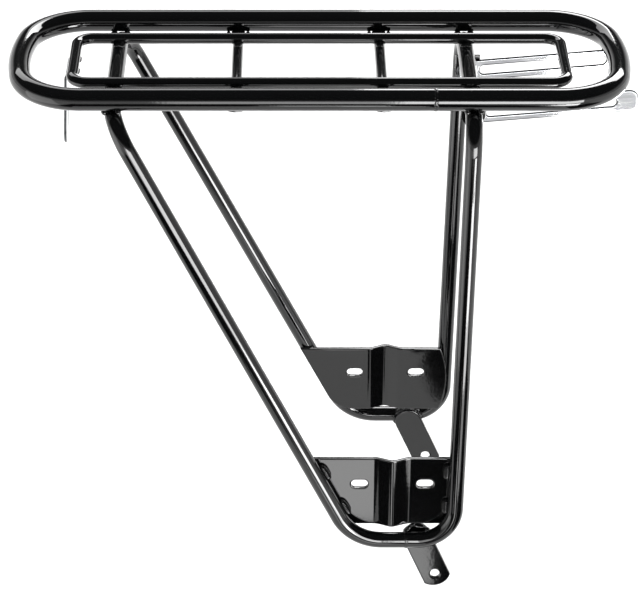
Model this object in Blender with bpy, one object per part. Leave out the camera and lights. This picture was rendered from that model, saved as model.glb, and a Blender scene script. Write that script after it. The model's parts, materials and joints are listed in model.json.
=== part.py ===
"""Rear luggage carrier for a bicycle: a tubular platform on two bolted-on leg frames.

Units are metres. The origin lies midway between the two axle holes. +X points forwards along the bicycle,
+Y to its left and +Z up. The left and right halves mirror each other across the plane Y = 0.
"""

import math

import bmesh
import bpy
from mathutils import Matrix, Vector

# Clearances
WELD_GAP = 0.0003            # left between pieces that are welded together
STACK_GAP = 0.0003           # left between the pieces clamped by a pivot bolt
HOLE_CLEARANCE = 0.0002      # radial play round a pivot bolt

# Platform
PLATFORM_HEIGHT = 0.388      # axis of the outer loop above the axle
LOOP_CENTRE_X = -0.0889
LOOP_LENGTH = 0.4278         # axis to axis, end to end
LOOP_WIDTH = 0.136           # axis to axis, side to side
LOOP_RADIUS = 0.008
LOOP_CORNER_BEND = 0.0453
LOOP_CORNER_ANGLE = math.radians(80)
LOOP_JOINT_X = -0.0088       # butt joint of the loop, on the right rail
INNER_END_INSET = 0.0389     # from the axis of the outer loop to that of the inner loop, at each end
INNER_SIDE_INSET = 0.0296    # and at each side
INNER_RADIUS = 0.004
INNER_BEND = 0.012
INNER_DROP = 0.0011          # axis of the inner loop below the axis of the outer loop

# Cross bars, which end in flattened paddles under the rails
CROSS_BAR_X = {"cross_bar_rear": -0.1477, "cross_bar_front": -0.0444}
CROSS_BAR_RADIUS = 0.004
PADDLE_WIDTH = 0.0145
PADDLE_THICKNESS = 0.003
PADDLE_LENGTH = 0.011
PADDLE_TAPER = 0.007
PADDLE_INSET = 0.0015        # the paddle ends this far inside the rail's axis

# Leg frames
LEG_RADIUS = 0.006
REAR_CROSS_INSET = 0.0296    # from the rear end of the inner loop to the rear cross tube
FRONT_CROSS_X = 0.0184
LEG_TOP_BEND = 0.027
FOOT_HALF_WIDTH = 0.0896
FOOT_HEIGHT = 0.0346
FOOT_REAR_X = -0.0632
FOOT_FRONT_X = 0.0129
FOOT_REAR_BEND = 0.036
FOOT_FRONT_BEND = 0.028
FOOT_JOINT_X = -0.0229       # the two leg frames are butt-welded here

# Gusset plates
PLATE_THICKNESS = 0.003
PLATE_HEIGHT = 0.0567
PLATE_RISE = 0.0104          # the lower edge stands this far above the axis of the foot
PLATE_OVERLAP = 0.004        # the rear edge stands this far past the diagonal tube's axis
PLATE_CORNER = 0.023
PLATE_FRONT_X = 0.0097
PLATE_FRONT_BULGE = 0.0051
RIDGE_X = -0.0337
RIDGE_HALF_WIDTH = 0.0116
RIDGE_DEPTH = 0.0055
PLATE_SLOT_LENGTH = 0.0125
PLATE_SLOT_HEIGHT = 0.007
PLATE_SLOT_SPREAD = 0.0243   # from the ridge to each slot's centre
PLATE_SLOT_RISE = 0.0347     # the slots' centres stand this far above the lower edge

# Axle tabs
TAB_THICKNESS = 0.004
TAB_WIDTH = 0.021
TAB_LEAN = math.radians(23.5)
TAB_END_RADIUS = 0.013
TAB_END_DROP = 0.010         # from the axle hole's centre to the lower end, along the tab
TAB_TOP_GAP = 0.0012         # between the upper end and the gusset plate's lower edge
AXLE_HOLE_RADIUS = 0.0036
AXLE_HOLE_CHAMFER = 0.0011

# Front stays
STAY_Y = 0.0356
STAY_WIDTH = 0.016
STAY_THICKNESS = 0.002
STAY_REACH = 0.1165          # from the pivot to the front end
STAY_REST_GAP = 0.0006       # between the stay's upper edge and the front end of the outer loop
STAY_END_CORNER = 0.006
STAY_SLOT_START = 0.0085
STAY_SLOT_END = 0.101
STAY_SLOT_HEIGHT = 0.0068
PIVOT_AHEAD = 0.0016         # the pivot lies this far in front of the cross tube's axis
LUG_THICKNESS = 0.003
LUG_WIDTH = 0.018
LUG_RISE = 0.0035            # how far the lug reaches up the sides of the cross tube

# Pivot fasteners, M6
BOLT_RADIUS = 0.003
BOLT_LENGTH = 0.016
HEX_WIDTH = 0.010            # across flats
HEAD_HEIGHT = 0.004
NUT_HEIGHT = 0.005
WASHER_RADIUS = 0.006
WASHER_THICKNESS = 0.0016

# Light bracket
BRACKET_THICKNESS = 0.002
BRACKET_WIDTH = 0.032
BRACKET_HEIGHT = 0.0585
BRACKET_FLANGE = 0.005
BRACKET_BEND = 0.0025
BRACKET_LEAN = math.radians(2.5)
BRACKET_HOLE_RADIUS = 0.0028
BRACKET_HOLE_DROP = 0.020
BRACKET_SLOT_LENGTH = 0.014
BRACKET_SLOT_WIDTH = 0.006
BRACKET_SLOT_DROP = 0.039

# Derived places
SIDES = {"right": -1, "left": 1}
INNER_LENGTH = LOOP_LENGTH - 2 * INNER_END_INSET
INNER_WIDTH = LOOP_WIDTH - 2 * INNER_SIDE_INSET
REAR_CROSS_X = LOOP_CENTRE_X - INNER_LENGTH / 2 + REAR_CROSS_INSET
INNER_Z = PLATFORM_HEIGHT - INNER_DROP
UNDER_INNER = INNER_Z - INNER_RADIUS - WELD_GAP
CROSS_TUBE_Z = UNDER_INNER - LEG_RADIUS
CROSS_BAR_Z = UNDER_INNER - CROSS_BAR_RADIUS
UNDER_RAIL = PLATFORM_HEIGHT - LOOP_RADIUS - WELD_GAP
PLATE_BOTTOM = FOOT_HEIGHT + PLATE_RISE
PLATE_TOP = PLATE_BOTTOM + PLATE_HEIGHT
PIVOT = Vector((FRONT_CROSS_X + PIVOT_AHEAD, 0, CROSS_TUBE_Z - LEG_RADIUS - STACK_GAP - STAY_WIDTH / 2))
BOLT_HOLE_RADIUS = BOLT_RADIUS + HOLE_CLEARANCE

# Roundness: the number of flat faces round each section
LOOP_SIDES = 24
LEG_SIDES = 20
ROD_SIDES = 14
HOLE_SIDES = 24
BEND_STEP = math.radians(9)


def loop_end_bend():
    """Radius of the shallow arc across each end of the outer loop."""
    corner_width = LOOP_CORNER_BEND * (1 - math.cos(LOOP_CORNER_ANGLE))
    return (LOOP_WIDTH / 2 - corner_width) / math.cos(LOOP_CORNER_ANGLE)


def leg_top_half_width():
    """Half the width at which the legs' upper bends just clear the rails, found by closing in on the lean."""
    reach = LEG_TOP_BEND + LEG_RADIUS + LOOP_RADIUS + WELD_GAP
    height = PLATFORM_HEIGHT - CROSS_TUBE_Z + LEG_TOP_BEND
    bend_centre = LOOP_WIDTH / 2 - math.sqrt(max(0, reach**2 - height**2))
    half_width = bend_centre + LEG_TOP_BEND
    for _ in range(4):
        lean = math.atan2(FOOT_HALF_WIDTH - half_width, CROSS_TUBE_Z - FOOT_HEIGHT)
        half_width = bend_centre + LEG_TOP_BEND * math.tan((math.pi / 2 - lean) / 2)
    return half_width


def stay_tilt():
    """The angle at which a stay rests under the front end of the outer loop."""
    front = LOOP_CENTRE_X + LOOP_LENGTH / 2
    bend = loop_end_bend()
    ahead = front - bend + math.sqrt(bend**2 - STAY_Y**2) - PIVOT.x
    above = PLATFORM_HEIGHT - PIVOT.z
    clear = LOOP_RADIUS + STAY_WIDTH / 2 + STAY_REST_GAP
    return math.acos(clear / math.hypot(ahead, above)) - math.atan2(ahead, above)


LEG_TOP_HALF_WIDTH = leg_top_half_width()
HOOP_LEAN = math.atan2(FOOT_HALF_WIDTH - LEG_TOP_HALF_WIDTH, CROSS_TUBE_Z - FOOT_HEIGHT)
STAY_TILT = stay_tilt()


def clear_scene():
    for obj in list(bpy.data.objects):
        bpy.data.objects.remove(obj, do_unlink=True)


def make_material(name, colour, roughness, metallic):
    material = bpy.data.materials.new(name)
    material.use_nodes = True
    shader = material.node_tree.nodes["Principled BSDF"]
    shader.inputs["Base Color"].default_value = (*colour, 1)
    shader.inputs["Roughness"].default_value = roughness
    shader.inputs["Metallic"].default_value = metallic
    material.diffuse_color = (*colour, 1)
    return material


def add_object(name, bm, material, parent=None):
    """Turn a bmesh into a named object with smooth round faces and sharp edges kept."""
    bmesh.ops.recalc_face_normals(bm, faces=bm.faces)
    mesh = bpy.data.meshes.new(name)
    bm.to_mesh(mesh)
    bm.free()
    mesh.shade_smooth()
    mesh.set_sharp_from_angle(angle=math.radians(35))
    obj = bpy.data.objects.new(name, mesh)
    bpy.context.scene.collection.objects.link(obj)
    obj.parent = parent
    if material:
        mesh.materials.append(material)
    return obj


def add_empty(name, location, rotation=(0, 0, 0)):
    empty = bpy.data.objects.new(name, None)
    bpy.context.scene.collection.objects.link(empty)
    empty.location = location
    empty.rotation_euler = rotation
    return empty


def cut(target, cutter, operation="DIFFERENCE"):
    """Add a Boolean of a hidden cutter to the target."""
    cutter.hide_render = True
    cutter.display_type = "WIRE"
    modifier = target.modifiers.new(cutter.name, "BOOLEAN")
    modifier.operation = operation
    modifier.solver = "EXACT"
    modifier.object = cutter


def only(kind, geometry):
    return [item for item in geometry if isinstance(item, kind)]


# ---------------------------------------------------------------- bent bars and tubes


def bend_bar(bm, radius, sides, start, heading, moves):
    """Sweep a round section: each move is a straight length, or (axis, bend radius, angle)."""
    place = start.copy()
    heading = heading.normalized()
    frame = Matrix.Translation(place) @ heading.to_track_quat("Z", "Y").to_matrix().to_4x4()
    verts = bmesh.ops.create_circle(bm, segments=sides, radius=radius, matrix=frame)["verts"]
    edges = list({edge for vert in verts for edge in vert.link_edges})
    for move in moves:
        if isinstance(move, tuple):
            axis, bend_radius, angle = move
            centre = place + bend_radius * axis.cross(heading)
            steps = max(2, math.ceil(angle / BEND_STEP))
            last = bmesh.ops.spin(
                bm, geom=verts + edges, cent=centre, axis=axis, angle=angle, steps=steps
            )["geom_last"]
            turn = Matrix.Rotation(angle, 3, axis)
            place = centre + turn @ (place - centre)
            heading = turn @ heading
        else:
            last = bmesh.ops.extrude_edge_only(bm, edges=edges)["geom"]
            bmesh.ops.translate(bm, verts=only(bmesh.types.BMVert, last), vec=heading * move)
            place = place + heading * move
        verts = only(bmesh.types.BMVert, last)
        edges = [edge for edge in only(bmesh.types.BMEdge, last) if set(edge.verts) <= set(verts)]


def close_ends(bm):
    bmesh.ops.holes_fill(bm, edges=[edge for edge in bm.edges if edge.is_boundary])


def moves_between(points, bend_radii):
    """The straight lengths and bends of a bar whose axis would turn sharply at each inner point."""
    headings = [(b - a).normalized() for a, b in zip(points, points[1:])]
    lengths = [(b - a).length for a, b in zip(points, points[1:])]
    moves = []
    spent = 0
    for index, bend_radius in enumerate(bend_radii):
        angle = headings[index].angle(headings[index + 1])
        setback = bend_radius * math.tan(angle / 2)
        moves.append(lengths[index] - spent - setback)
        axis = headings[index].cross(headings[index + 1]).normalized()
        moves.append((axis, bend_radius, angle))
        spent = setback
    moves.append(lengths[-1] - spent)
    return moves


def bent_tube(name, radius, sides, points, bend_radii, material):
    bm = bmesh.new()
    moves = moves_between(points, bend_radii)
    bend_bar(bm, radius, sides, points[0], points[1] - points[0], moves)
    close_ends(bm)
    return add_object(name, bm, material)


def loop_end_moves():
    """Half turn of the outer loop: a tight corner, a nearly flat end, and a second corner."""
    up = Vector((0, 0, 1))
    end_angle = math.pi - 2 * LOOP_CORNER_ANGLE
    end_bend = loop_end_bend()
    corner = (up, LOOP_CORNER_BEND, LOOP_CORNER_ANGLE)
    depth = LOOP_CORNER_BEND * math.sin(LOOP_CORNER_ANGLE) + end_bend * (1 - math.cos(end_angle / 2))
    return [corner, (up, end_bend, end_angle), corner], depth


def make_outer_loop(material):
    """One thick tube bent into a ring, with the two cut ends butted together on the right rail."""
    end_moves, end_depth = loop_end_moves()
    rail = LOOP_LENGTH - 2 * end_depth
    front = LOOP_CENTRE_X + rail / 2
    first = front - LOOP_JOINT_X - WELD_GAP / 2
    moves = [first, *end_moves, rail, *end_moves, rail - first - WELD_GAP]
    start = Vector((LOOP_JOINT_X + WELD_GAP / 2, -LOOP_WIDTH / 2, PLATFORM_HEIGHT))
    bm = bmesh.new()
    bend_bar(bm, LOOP_RADIUS, LOOP_SIDES, start, Vector((1, 0, 0)), moves)
    close_ends(bm)
    add_object("outer_loop", bm, material)


def make_inner_loop(material):
    """A thinner rod bent into a rectangle with rounded corners and welded shut."""
    up = Vector((0, 0, 1))
    corner = (up, INNER_BEND, math.pi / 2)
    length = INNER_LENGTH - 2 * INNER_BEND
    width = INNER_WIDTH - 2 * INNER_BEND
    moves = [length / 2, corner, width, corner, length, corner, width, corner, length / 2]
    start = Vector((LOOP_CENTRE_X, -INNER_WIDTH / 2, INNER_Z))
    bm = bmesh.new()
    bend_bar(bm, INNER_RADIUS, ROD_SIDES, start, Vector((1, 0, 0)), moves)
    bmesh.ops.remove_doubles(bm, verts=bm.verts, dist=1e-5)
    add_object("inner_loop", bm, material)


def make_cross_bar(name, x, material):
    """A rod laid across the platform, pressed flat where it passes under each rail."""
    paddle_end = LOOP_WIDTH / 2 - PADDLE_INSET
    paddle_start = paddle_end - PADDLE_LENGTH
    round_end = paddle_start - PADDLE_TAPER
    paddle_drop = CROSS_BAR_Z - (UNDER_RAIL - PADDLE_THICKNESS / 2)
    flat = (PADDLE_WIDTH / 2, PADDLE_THICKNESS / 2, paddle_drop)
    tip = (PADDLE_WIDTH / 3, PADDLE_THICKNESS / 2, paddle_drop)
    full = (CROSS_BAR_RADIUS, CROSS_BAR_RADIUS, 0)
    half = [
        (round_end, full),
        (paddle_start, flat),
        (paddle_end - PADDLE_WIDTH / 6, flat),
        (paddle_end, tip),
    ]
    stations = [(-y, shape) for y, shape in reversed(half)] + half
    bm = bmesh.new()
    last = None
    for y, (half_width, half_height, drop) in stations:
        place = Matrix.Translation((x, y, CROSS_BAR_Z - drop)) @ Matrix.Rotation(math.pi / 2, 4, "X")
        size = Matrix.Diagonal((half_width, half_height, 1, 1))
        ring = bmesh.ops.create_circle(bm, segments=ROD_SIDES, radius=1, matrix=place @ size)["verts"]
        edges = list({edge for vert in ring for edge in vert.link_edges})
        if last:
            bmesh.ops.bridge_loops(bm, edges=last + edges)
        last = edges
    close_ends(bm)
    add_object(name, bm, material)


def make_leg_frames(material):
    """Two U-shaped tubes: the rear one carries the diagonals, the front one the upright legs."""
    for name, cross_x, foot_x, foot_bend, gap in (
        ("rear_leg_frame", REAR_CROSS_X, FOOT_REAR_X, FOOT_REAR_BEND, -WELD_GAP / 2),
        ("front_leg_frame", FRONT_CROSS_X, FOOT_FRONT_X, FOOT_FRONT_BEND, WELD_GAP / 2),
    ):
        half = [
            Vector((FOOT_JOINT_X + gap, FOOT_HALF_WIDTH, FOOT_HEIGHT)),
            Vector((foot_x, FOOT_HALF_WIDTH, FOOT_HEIGHT)),
            Vector((cross_x, LEG_TOP_HALF_WIDTH, CROSS_TUBE_Z)),
        ]
        mirrored = [Vector((point.x, -point.y, point.z)) for point in half]
        points = mirrored + half[::-1]
        bends = [foot_bend, LEG_TOP_BEND, LEG_TOP_BEND, foot_bend]
        bent_tube(name, LEG_RADIUS, LEG_SIDES, points, bends, material)


# ---------------------------------------------------------------- flat outlines


def arc_points(centre, radius, start, end):
    """Points along an arc, as (u, v) pairs, with both ends."""
    steps = max(2, math.ceil(abs(end - start) / math.radians(15)))
    angles = [start + (end - start) * step / steps for step in range(steps + 1)]
    return [(centre[0] + radius * math.cos(a), centre[1] + radius * math.sin(a)) for a in angles]


def rounded_outline(corners):
    """An outline from (u, v, radius) corners, given anticlockwise, with each corner turned to an arc."""
    outline = []
    for index, (u, v, radius) in enumerate(corners):
        point = Vector((u, v))
        before = (Vector(corners[index - 1][:2]) - point).normalized()
        after = (Vector(corners[(index + 1) % len(corners)][:2]) - point).normalized()
        if not radius:
            outline.append((u, v))
            continue
        half = before.angle(after) / 2
        centre = point + (before + after).normalized() * radius / math.sin(half)
        start = math.atan2(*(point + before * radius / math.tan(half) - centre).yx)
        sweep = math.pi - 2 * half
        outline += arc_points(centre, radius, start, start + sweep)
    return outline


def obround(length, height):
    """A slot outline centred on (0, 0), long along u."""
    reach = (length - height) / 2
    right = arc_points((reach, 0), height / 2, -math.pi / 2, math.pi / 2)
    left = arc_points((-reach, 0), height / 2, math.pi / 2, 3 * math.pi / 2)
    return right + left


def slab(outline, thickness, start=0):
    """Extrude an outline in the XZ plane along +Y, from start to start + thickness."""
    bm = bmesh.new()
    face = bm.faces.new([bm.verts.new((u, start, v)) for u, v in outline])
    extruded = bmesh.ops.extrude_face_region(bm, geom=[face])["geom"]
    bmesh.ops.translate(bm, verts=only(bmesh.types.BMVert, extruded), vec=(0, thickness, 0))
    bmesh.ops.recalc_face_normals(bm, faces=bm.faces)
    return bm


def slab_cutter(name, outline, reach, place=(0, 0), turn=0, parent=None):
    """A hidden prism that cuts an outline through anything within reach of the XZ plane."""
    bm = slab(outline, 2 * reach, -reach)
    move = Matrix.Translation((place[0], 0, place[1])) @ Matrix.Rotation(-turn, 4, "Y")
    bmesh.ops.transform(bm, matrix=move, verts=bm.verts)
    return add_object(name, bm, None, parent)


def circle(radius):
    angles = [2 * math.pi * step / HOLE_SIDES for step in range(HOLE_SIDES)]
    return [(radius * math.cos(a), radius * math.sin(a)) for a in angles]


# ---------------------------------------------------------------- plates and tabs on the leg frames


def diagonal_x(height):
    """X of the diagonal tube's axis at a height."""
    share = (height - FOOT_HEIGHT) / (CROSS_TUBE_Z - FOOT_HEIGHT)
    return FOOT_REAR_X + share * (REAR_CROSS_X - FOOT_REAR_X)


def plate_outline():
    slope = math.atan2(FOOT_REAR_X - REAR_CROSS_X, CROSS_TUBE_Z - FOOT_HEIGHT)
    overlap = PLATE_OVERLAP / math.cos(slope)
    low = PLATE_BOTTOM - FOOT_HEIGHT
    high = PLATE_TOP - FOOT_HEIGHT
    rear = rounded_outline([
        (diagonal_x(PLATE_TOP) - overlap, high, 0),
        (diagonal_x(PLATE_BOTTOM) - overlap, low, PLATE_CORNER),
        (PLATE_FRONT_X, low, 0),
        (PLATE_FRONT_X, high, 0),
    ])
    half = (high - low) / 2
    radius = (half**2 + PLATE_FRONT_BULGE**2) / (2 * PLATE_FRONT_BULGE)
    reach = math.asin(half / radius)
    centre = (PLATE_FRONT_X + PLATE_FRONT_BULGE - radius, (high + low) / 2)
    front = arc_points(centre, radius, -reach, reach)
    return rear[:-2] + front


def folded_sheet(outward):
    """A tall sheet with one upright ridge, before it is trimmed and slotted."""
    inner = -outward * (LEG_RADIUS + WELD_GAP + PLATE_THICKNESS)
    margin = 0.1
    profile = [
        (RIDGE_X - margin, 0),
        (RIDGE_X - RIDGE_HALF_WIDTH, 0),
        (RIDGE_X, RIDGE_DEPTH),
        (RIDGE_X + RIDGE_HALF_WIDTH, 0),
        (RIDGE_X + margin, 0),
    ]
    bm = bmesh.new()
    verts = [bm.verts.new((x, inner + outward * y, -margin)) for x, y in profile]
    edges = [bm.edges.new(pair) for pair in zip(verts, verts[1:])]
    bmesh.ops.bevel(
        bm, geom=verts[1:-1], offset=0.0025, segments=3, profile=0.5, affect="VERTICES", material=-1
    )
    edges = bm.edges[:]
    extruded = bmesh.ops.extrude_edge_only(bm, edges=edges)["geom"]
    bmesh.ops.translate(bm, verts=only(bmesh.types.BMVert, extruded), vec=(0, 0, 2 * margin))
    solid = bmesh.ops.extrude_face_region(bm, geom=bm.faces[:])["geom"]
    shift = (0, outward * PLATE_THICKNESS, 0)
    bmesh.ops.translate(bm, verts=only(bmesh.types.BMVert, solid), vec=shift)
    return bm


def make_gusset_plate(side, outward, hoop, material):
    plate = add_object(f"gusset_plate_{side}", folded_sheet(outward), material, hoop)
    reach = 0.03
    cut(plate, slab_cutter(f"plate_outline_{side}", plate_outline(), reach, parent=hoop), "INTERSECT")
    for end, sign in (("rear", -1), ("front", 1)):
        place = (RIDGE_X + sign * PLATE_SLOT_SPREAD, PLATE_RISE + PLATE_SLOT_RISE)
        slot = obround(PLATE_SLOT_LENGTH, PLATE_SLOT_HEIGHT)
        cut(plate, slab_cutter(f"plate_slot_{end}_{side}", slot, reach, place, parent=hoop))


def tab_outline():
    """A strip with a full round upper end, just below the gusset plate, and a shallow arc for a lower end."""
    half = TAB_WIDTH / 2
    end_angle = math.asin(half / TAB_END_RADIUS)
    middle = (0, TAB_END_RADIUS - TAB_END_DROP)
    end = arc_points(middle, TAB_END_RADIUS, -math.pi / 2 - end_angle, -math.pi / 2 + end_angle)
    top = (PLATE_BOTTOM - TAB_TOP_GAP) / math.cos(HOOP_LEAN)
    rise = (top - half) / math.cos(TAB_LEAN)
    return end + arc_points((0, rise), half, 0, math.pi)


def chamfered_hole_cutter(name, radius, chamfer, start, thickness, place, parent):
    """A hidden plug for a hole with two chamfered rims: rings along Y, joined into one skin."""
    outside = 0.001
    wide = radius + chamfer + outside
    end = start + thickness
    sections = (
        (wide, start - outside), (radius, start + chamfer),
        (radius, end - chamfer), (wide, end + outside),
    )
    bm = bmesh.new()
    rings = [
        [bm.verts.new((place[0] + x, y, place[1] + z)) for x, z in circle(size)]
        for size, y in sections
    ]
    for ring, following in zip(rings, rings[1:]):
        for step in range(HOLE_SIDES):
            bm.faces.new((ring[step - 1], ring[step], following[step], following[step - 1]))
    bm.faces.new(rings[0])
    bm.faces.new(rings[-1])
    bmesh.ops.recalc_face_normals(bm, faces=bm.faces)
    return add_object(name, bm, None, parent)


def make_axle_tab(side, outward, hoop, material):
    """A flat strip that leans forwards from the foot of the legs down to the wheel axle."""
    inner = LEG_RADIUS + WELD_GAP
    start = -inner - TAB_THICKNESS if outward > 0 else inner
    bm = slab(tab_outline(), TAB_THICKNESS, start)
    axle = (0, -FOOT_HEIGHT / math.cos(HOOP_LEAN))
    move = Matrix.Translation((axle[0], 0, axle[1])) @ Matrix.Rotation(-TAB_LEAN, 4, "Y")
    bmesh.ops.transform(bm, matrix=move, verts=bm.verts)
    tab = add_object(f"axle_tab_{side}", bm, material, hoop)
    sizes = (AXLE_HOLE_RADIUS, AXLE_HOLE_CHAMFER, start, TAB_THICKNESS)
    cut(tab, chamfered_hole_cutter(f"axle_hole_{side}", *sizes, axle, hoop))


def make_hoop_fittings(material):
    for side, outward in SIDES.items():
        place = (0, outward * FOOT_HALF_WIDTH, FOOT_HEIGHT)
        hoop = add_empty(f"hoop_plane_{side}", place, (outward * HOOP_LEAN, 0, 0))
        make_gusset_plate(side, outward, hoop, material)
        make_axle_tab(side, outward, hoop, material)


# ---------------------------------------------------------------- light bracket


def make_light_bracket(material):
    """A strip bent from a flange under the inner loop down into a tongue with a round end."""
    rod_x = LOOP_CENTRE_X - INNER_LENGTH / 2
    top = UNDER_INNER - BRACKET_THICKNESS / 2
    drop_angle = math.pi / 2 - BRACKET_LEAN
    rear = rod_x + INNER_RADIUS / 2 - BRACKET_FLANGE
    bend = arc_points((rear, top - BRACKET_BEND), BRACKET_BEND, math.pi / 2, math.pi / 2 + drop_angle)
    down = Vector((-math.sin(BRACKET_LEAN), -math.cos(BRACKET_LEAN)))
    half = BRACKET_WIDTH / 2
    straight = BRACKET_HEIGHT - BRACKET_BEND - half
    knee = Vector(bend[-1])
    stations = [(Vector((rod_x + INNER_RADIUS / 2, top)), half)]
    stations += [(Vector(point), half) for point in bend]
    for step in range(9):
        angle = math.pi / 2 * step / 8 * 0.985
        stations.append((knee + down * (straight + half * math.sin(angle)), half * math.cos(angle)))
    bm = bmesh.new()
    rows = [[bm.verts.new((p.x, sign * width, p.y)) for sign in (-1, 1)] for p, width in stations]
    for above, below in zip(rows, rows[1:]):
        bm.faces.new((above[0], above[1], below[1], below[0]))
    bracket = add_object("light_bracket", bm, material)
    thicken = bracket.modifiers.new("sheet", "SOLIDIFY")
    thicken.thickness = BRACKET_THICKNESS
    thicken.offset = 0
    hole = circle(BRACKET_HOLE_RADIUS)
    slot = [(v, u) for u, v in obround(BRACKET_SLOT_LENGTH, BRACKET_SLOT_WIDTH)][::-1]
    for name, outline, drop in (("hole", hole, BRACKET_HOLE_DROP), ("slot", slot, BRACKET_SLOT_DROP)):
        cutter = slab_cutter(f"bracket_{name}", outline, 0.02)
        centre = knee + down * drop
        cutter.location = (centre.x, 0, centre.y)
        cutter.rotation_euler = (0, 0, math.pi / 2)
        cut(bracket, cutter)


# ---------------------------------------------------------------- front stays and their pivots


def make_stay(side, pivot, material):
    """A flat slotted bar that swings on its pivot bolt."""
    half = STAY_WIDTH / 2
    rear = arc_points((0, 0), half, math.pi / 2, 3 * math.pi / 2)
    front = rounded_outline([
        (0, -half, 0),
        (STAY_REACH, -half, STAY_END_CORNER),
        (STAY_REACH, half, STAY_END_CORNER),
        (0, half, 0),
    ])
    bm = slab(rear + front[1:-1], STAY_THICKNESS, -STAY_THICKNESS / 2)
    stay = add_object(f"stay_{side}", bm, material, pivot)
    length = STAY_SLOT_END - STAY_SLOT_START
    middle = ((STAY_SLOT_START + STAY_SLOT_END) / 2, 0)
    cut(stay, slab_cutter(f"stay_slot_{side}", obround(length, STAY_SLOT_HEIGHT), 0.01, middle, parent=pivot))
    cut(stay, slab_cutter(f"stay_hole_{side}", circle(BOLT_HOLE_RADIUS), 0.01, parent=pivot))


def make_lug(side, outward, material):
    """A small plate under the front cross tube, which the stay is bolted to."""
    inner_face = STAY_Y + STAY_THICKNESS / 2 + STACK_GAP
    start = inner_face if outward > 0 else -inner_face - LUG_THICKNESS
    half = LUG_WIDTH / 2
    top = CROSS_TUBE_Z - LEG_RADIUS + LUG_RISE
    low = arc_points((PIVOT.x, PIVOT.z), half, math.pi, 2 * math.pi)
    outline = low + [(PIVOT.x + half, top), (PIVOT.x - half, top)]
    lug = add_object(f"stay_lug_{side}", slab(outline, LUG_THICKNESS, start), material)
    cope = circle(LEG_RADIUS + WELD_GAP)
    cut(lug, slab_cutter(f"lug_cope_{side}", cope, 0.06, (FRONT_CROSS_X, CROSS_TUBE_Z)))
    cut(lug, slab_cutter(f"lug_hole_{side}", circle(BOLT_HOLE_RADIUS), 0.06, (PIVOT.x, PIVOT.z)))


def hexagon(width):
    angles = [math.pi / 6 + math.pi / 3 * step for step in range(6)]
    return [(width / math.sqrt(3) * math.cos(a), width / math.sqrt(3) * math.sin(a)) for a in angles]


def make_pivot_fasteners(side, outward, material):
    """Bolt, two washers and nut: the head bears on the lug outside, and the nut on the stay inside."""
    anchor = add_empty(f"pivot_stack_{side}", (PIVOT.x, outward * STAY_Y, PIVOT.z))
    if outward < 0:
        anchor.rotation_euler = (0, 0, math.pi)
    outer = STAY_THICKNESS / 2 + LUG_THICKNESS + 2 * STACK_GAP
    inner = -STAY_THICKNESS / 2 - STACK_GAP
    head = outer + WASHER_THICKNESS + STACK_GAP
    hex_outline = hexagon(HEX_WIDTH)
    bolt = slab(hex_outline, HEAD_HEIGHT, head)
    seat = min(bolt.faces, key=lambda face: face.calc_center_median().y)
    inset_shank(bolt, seat)
    add_object(f"stay_bolt_{side}", bolt, material, anchor)
    bore = circle(BOLT_HOLE_RADIUS)
    pieces = (
        (f"outer_washer_{side}", circle(WASHER_RADIUS), WASHER_THICKNESS, outer),
        (f"inner_washer_{side}", circle(WASHER_RADIUS), WASHER_THICKNESS, inner - WASHER_THICKNESS),
        (f"stay_nut_{side}", hex_outline, NUT_HEIGHT, inner - WASHER_THICKNESS - STACK_GAP - NUT_HEIGHT),
    )
    for name, outline, thickness, start in pieces:
        piece = add_object(name, slab(outline, thickness, start), material, anchor)
        cut(piece, slab_cutter(f"{name}_bore", bore, 0.03, parent=anchor))


def inset_shank(bm, seat):
    """Grow the round shank from the underside of a hexagon head."""
    y = seat.calc_center_median().y
    ring = bmesh.ops.create_circle(
        bm, segments=HOLE_SIDES, radius=BOLT_RADIUS,
        matrix=Matrix.Translation((0, y, 0)) @ Matrix.Rotation(math.pi / 2, 4, "X"),
    )["verts"]
    ring_edges = list({edge for vert in ring for edge in vert.link_edges})
    rim = list(seat.edges)
    bmesh.ops.delete(bm, geom=[seat], context="FACES_ONLY")
    bmesh.ops.bridge_loops(bm, edges=rim + ring_edges)
    tip = bmesh.ops.extrude_edge_only(bm, edges=ring_edges)["geom"]
    bmesh.ops.translate(bm, verts=only(bmesh.types.BMVert, tip), vec=(0, -BOLT_LENGTH, 0))
    close_ends(bm)


def make_stays(chrome, paint, zinc):
    for side, outward in SIDES.items():
        pivot = add_empty(f"pivot_{side}", (PIVOT.x, outward * STAY_Y, PIVOT.z), (0, -STAY_TILT, 0))
        make_stay(side, pivot, chrome)
        make_lug(side, outward, paint)
        make_pivot_fasteners(side, outward, zinc)


def main():
    clear_scene()
    paint = make_material("black_paint", (0.012, 0.012, 0.013), 0.12, 0.0)
    chrome = make_material("chrome_plate", (0.86, 0.87, 0.88), 0.08, 1.0)
    zinc = make_material("zinc_plate", (0.62, 0.63, 0.64), 0.3, 1.0)
    make_outer_loop(paint)
    make_inner_loop(paint)
    for name, x in CROSS_BAR_X.items():
        make_cross_bar(name, x, paint)
    make_leg_frames(paint)
    make_hoop_fittings(paint)
    make_light_bracket(chrome)
    make_stays(chrome, paint, zinc)


main()
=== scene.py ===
# %% [markdown]
# # A rear luggage carrier for a bicycle
# The carrier is a bench job in steel: tubes and rods are bent, plates are punched, and everything is welded
# and then painted gloss black. Two chrome stays are bolted on so that they can swing. The CAD model is
# loaded first. It says where each piece is, and every finer piece below is built round it.

# %% Load the frame
import json
import math

import bmesh
import bpy
from mathutils import Matrix, Vector


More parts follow.
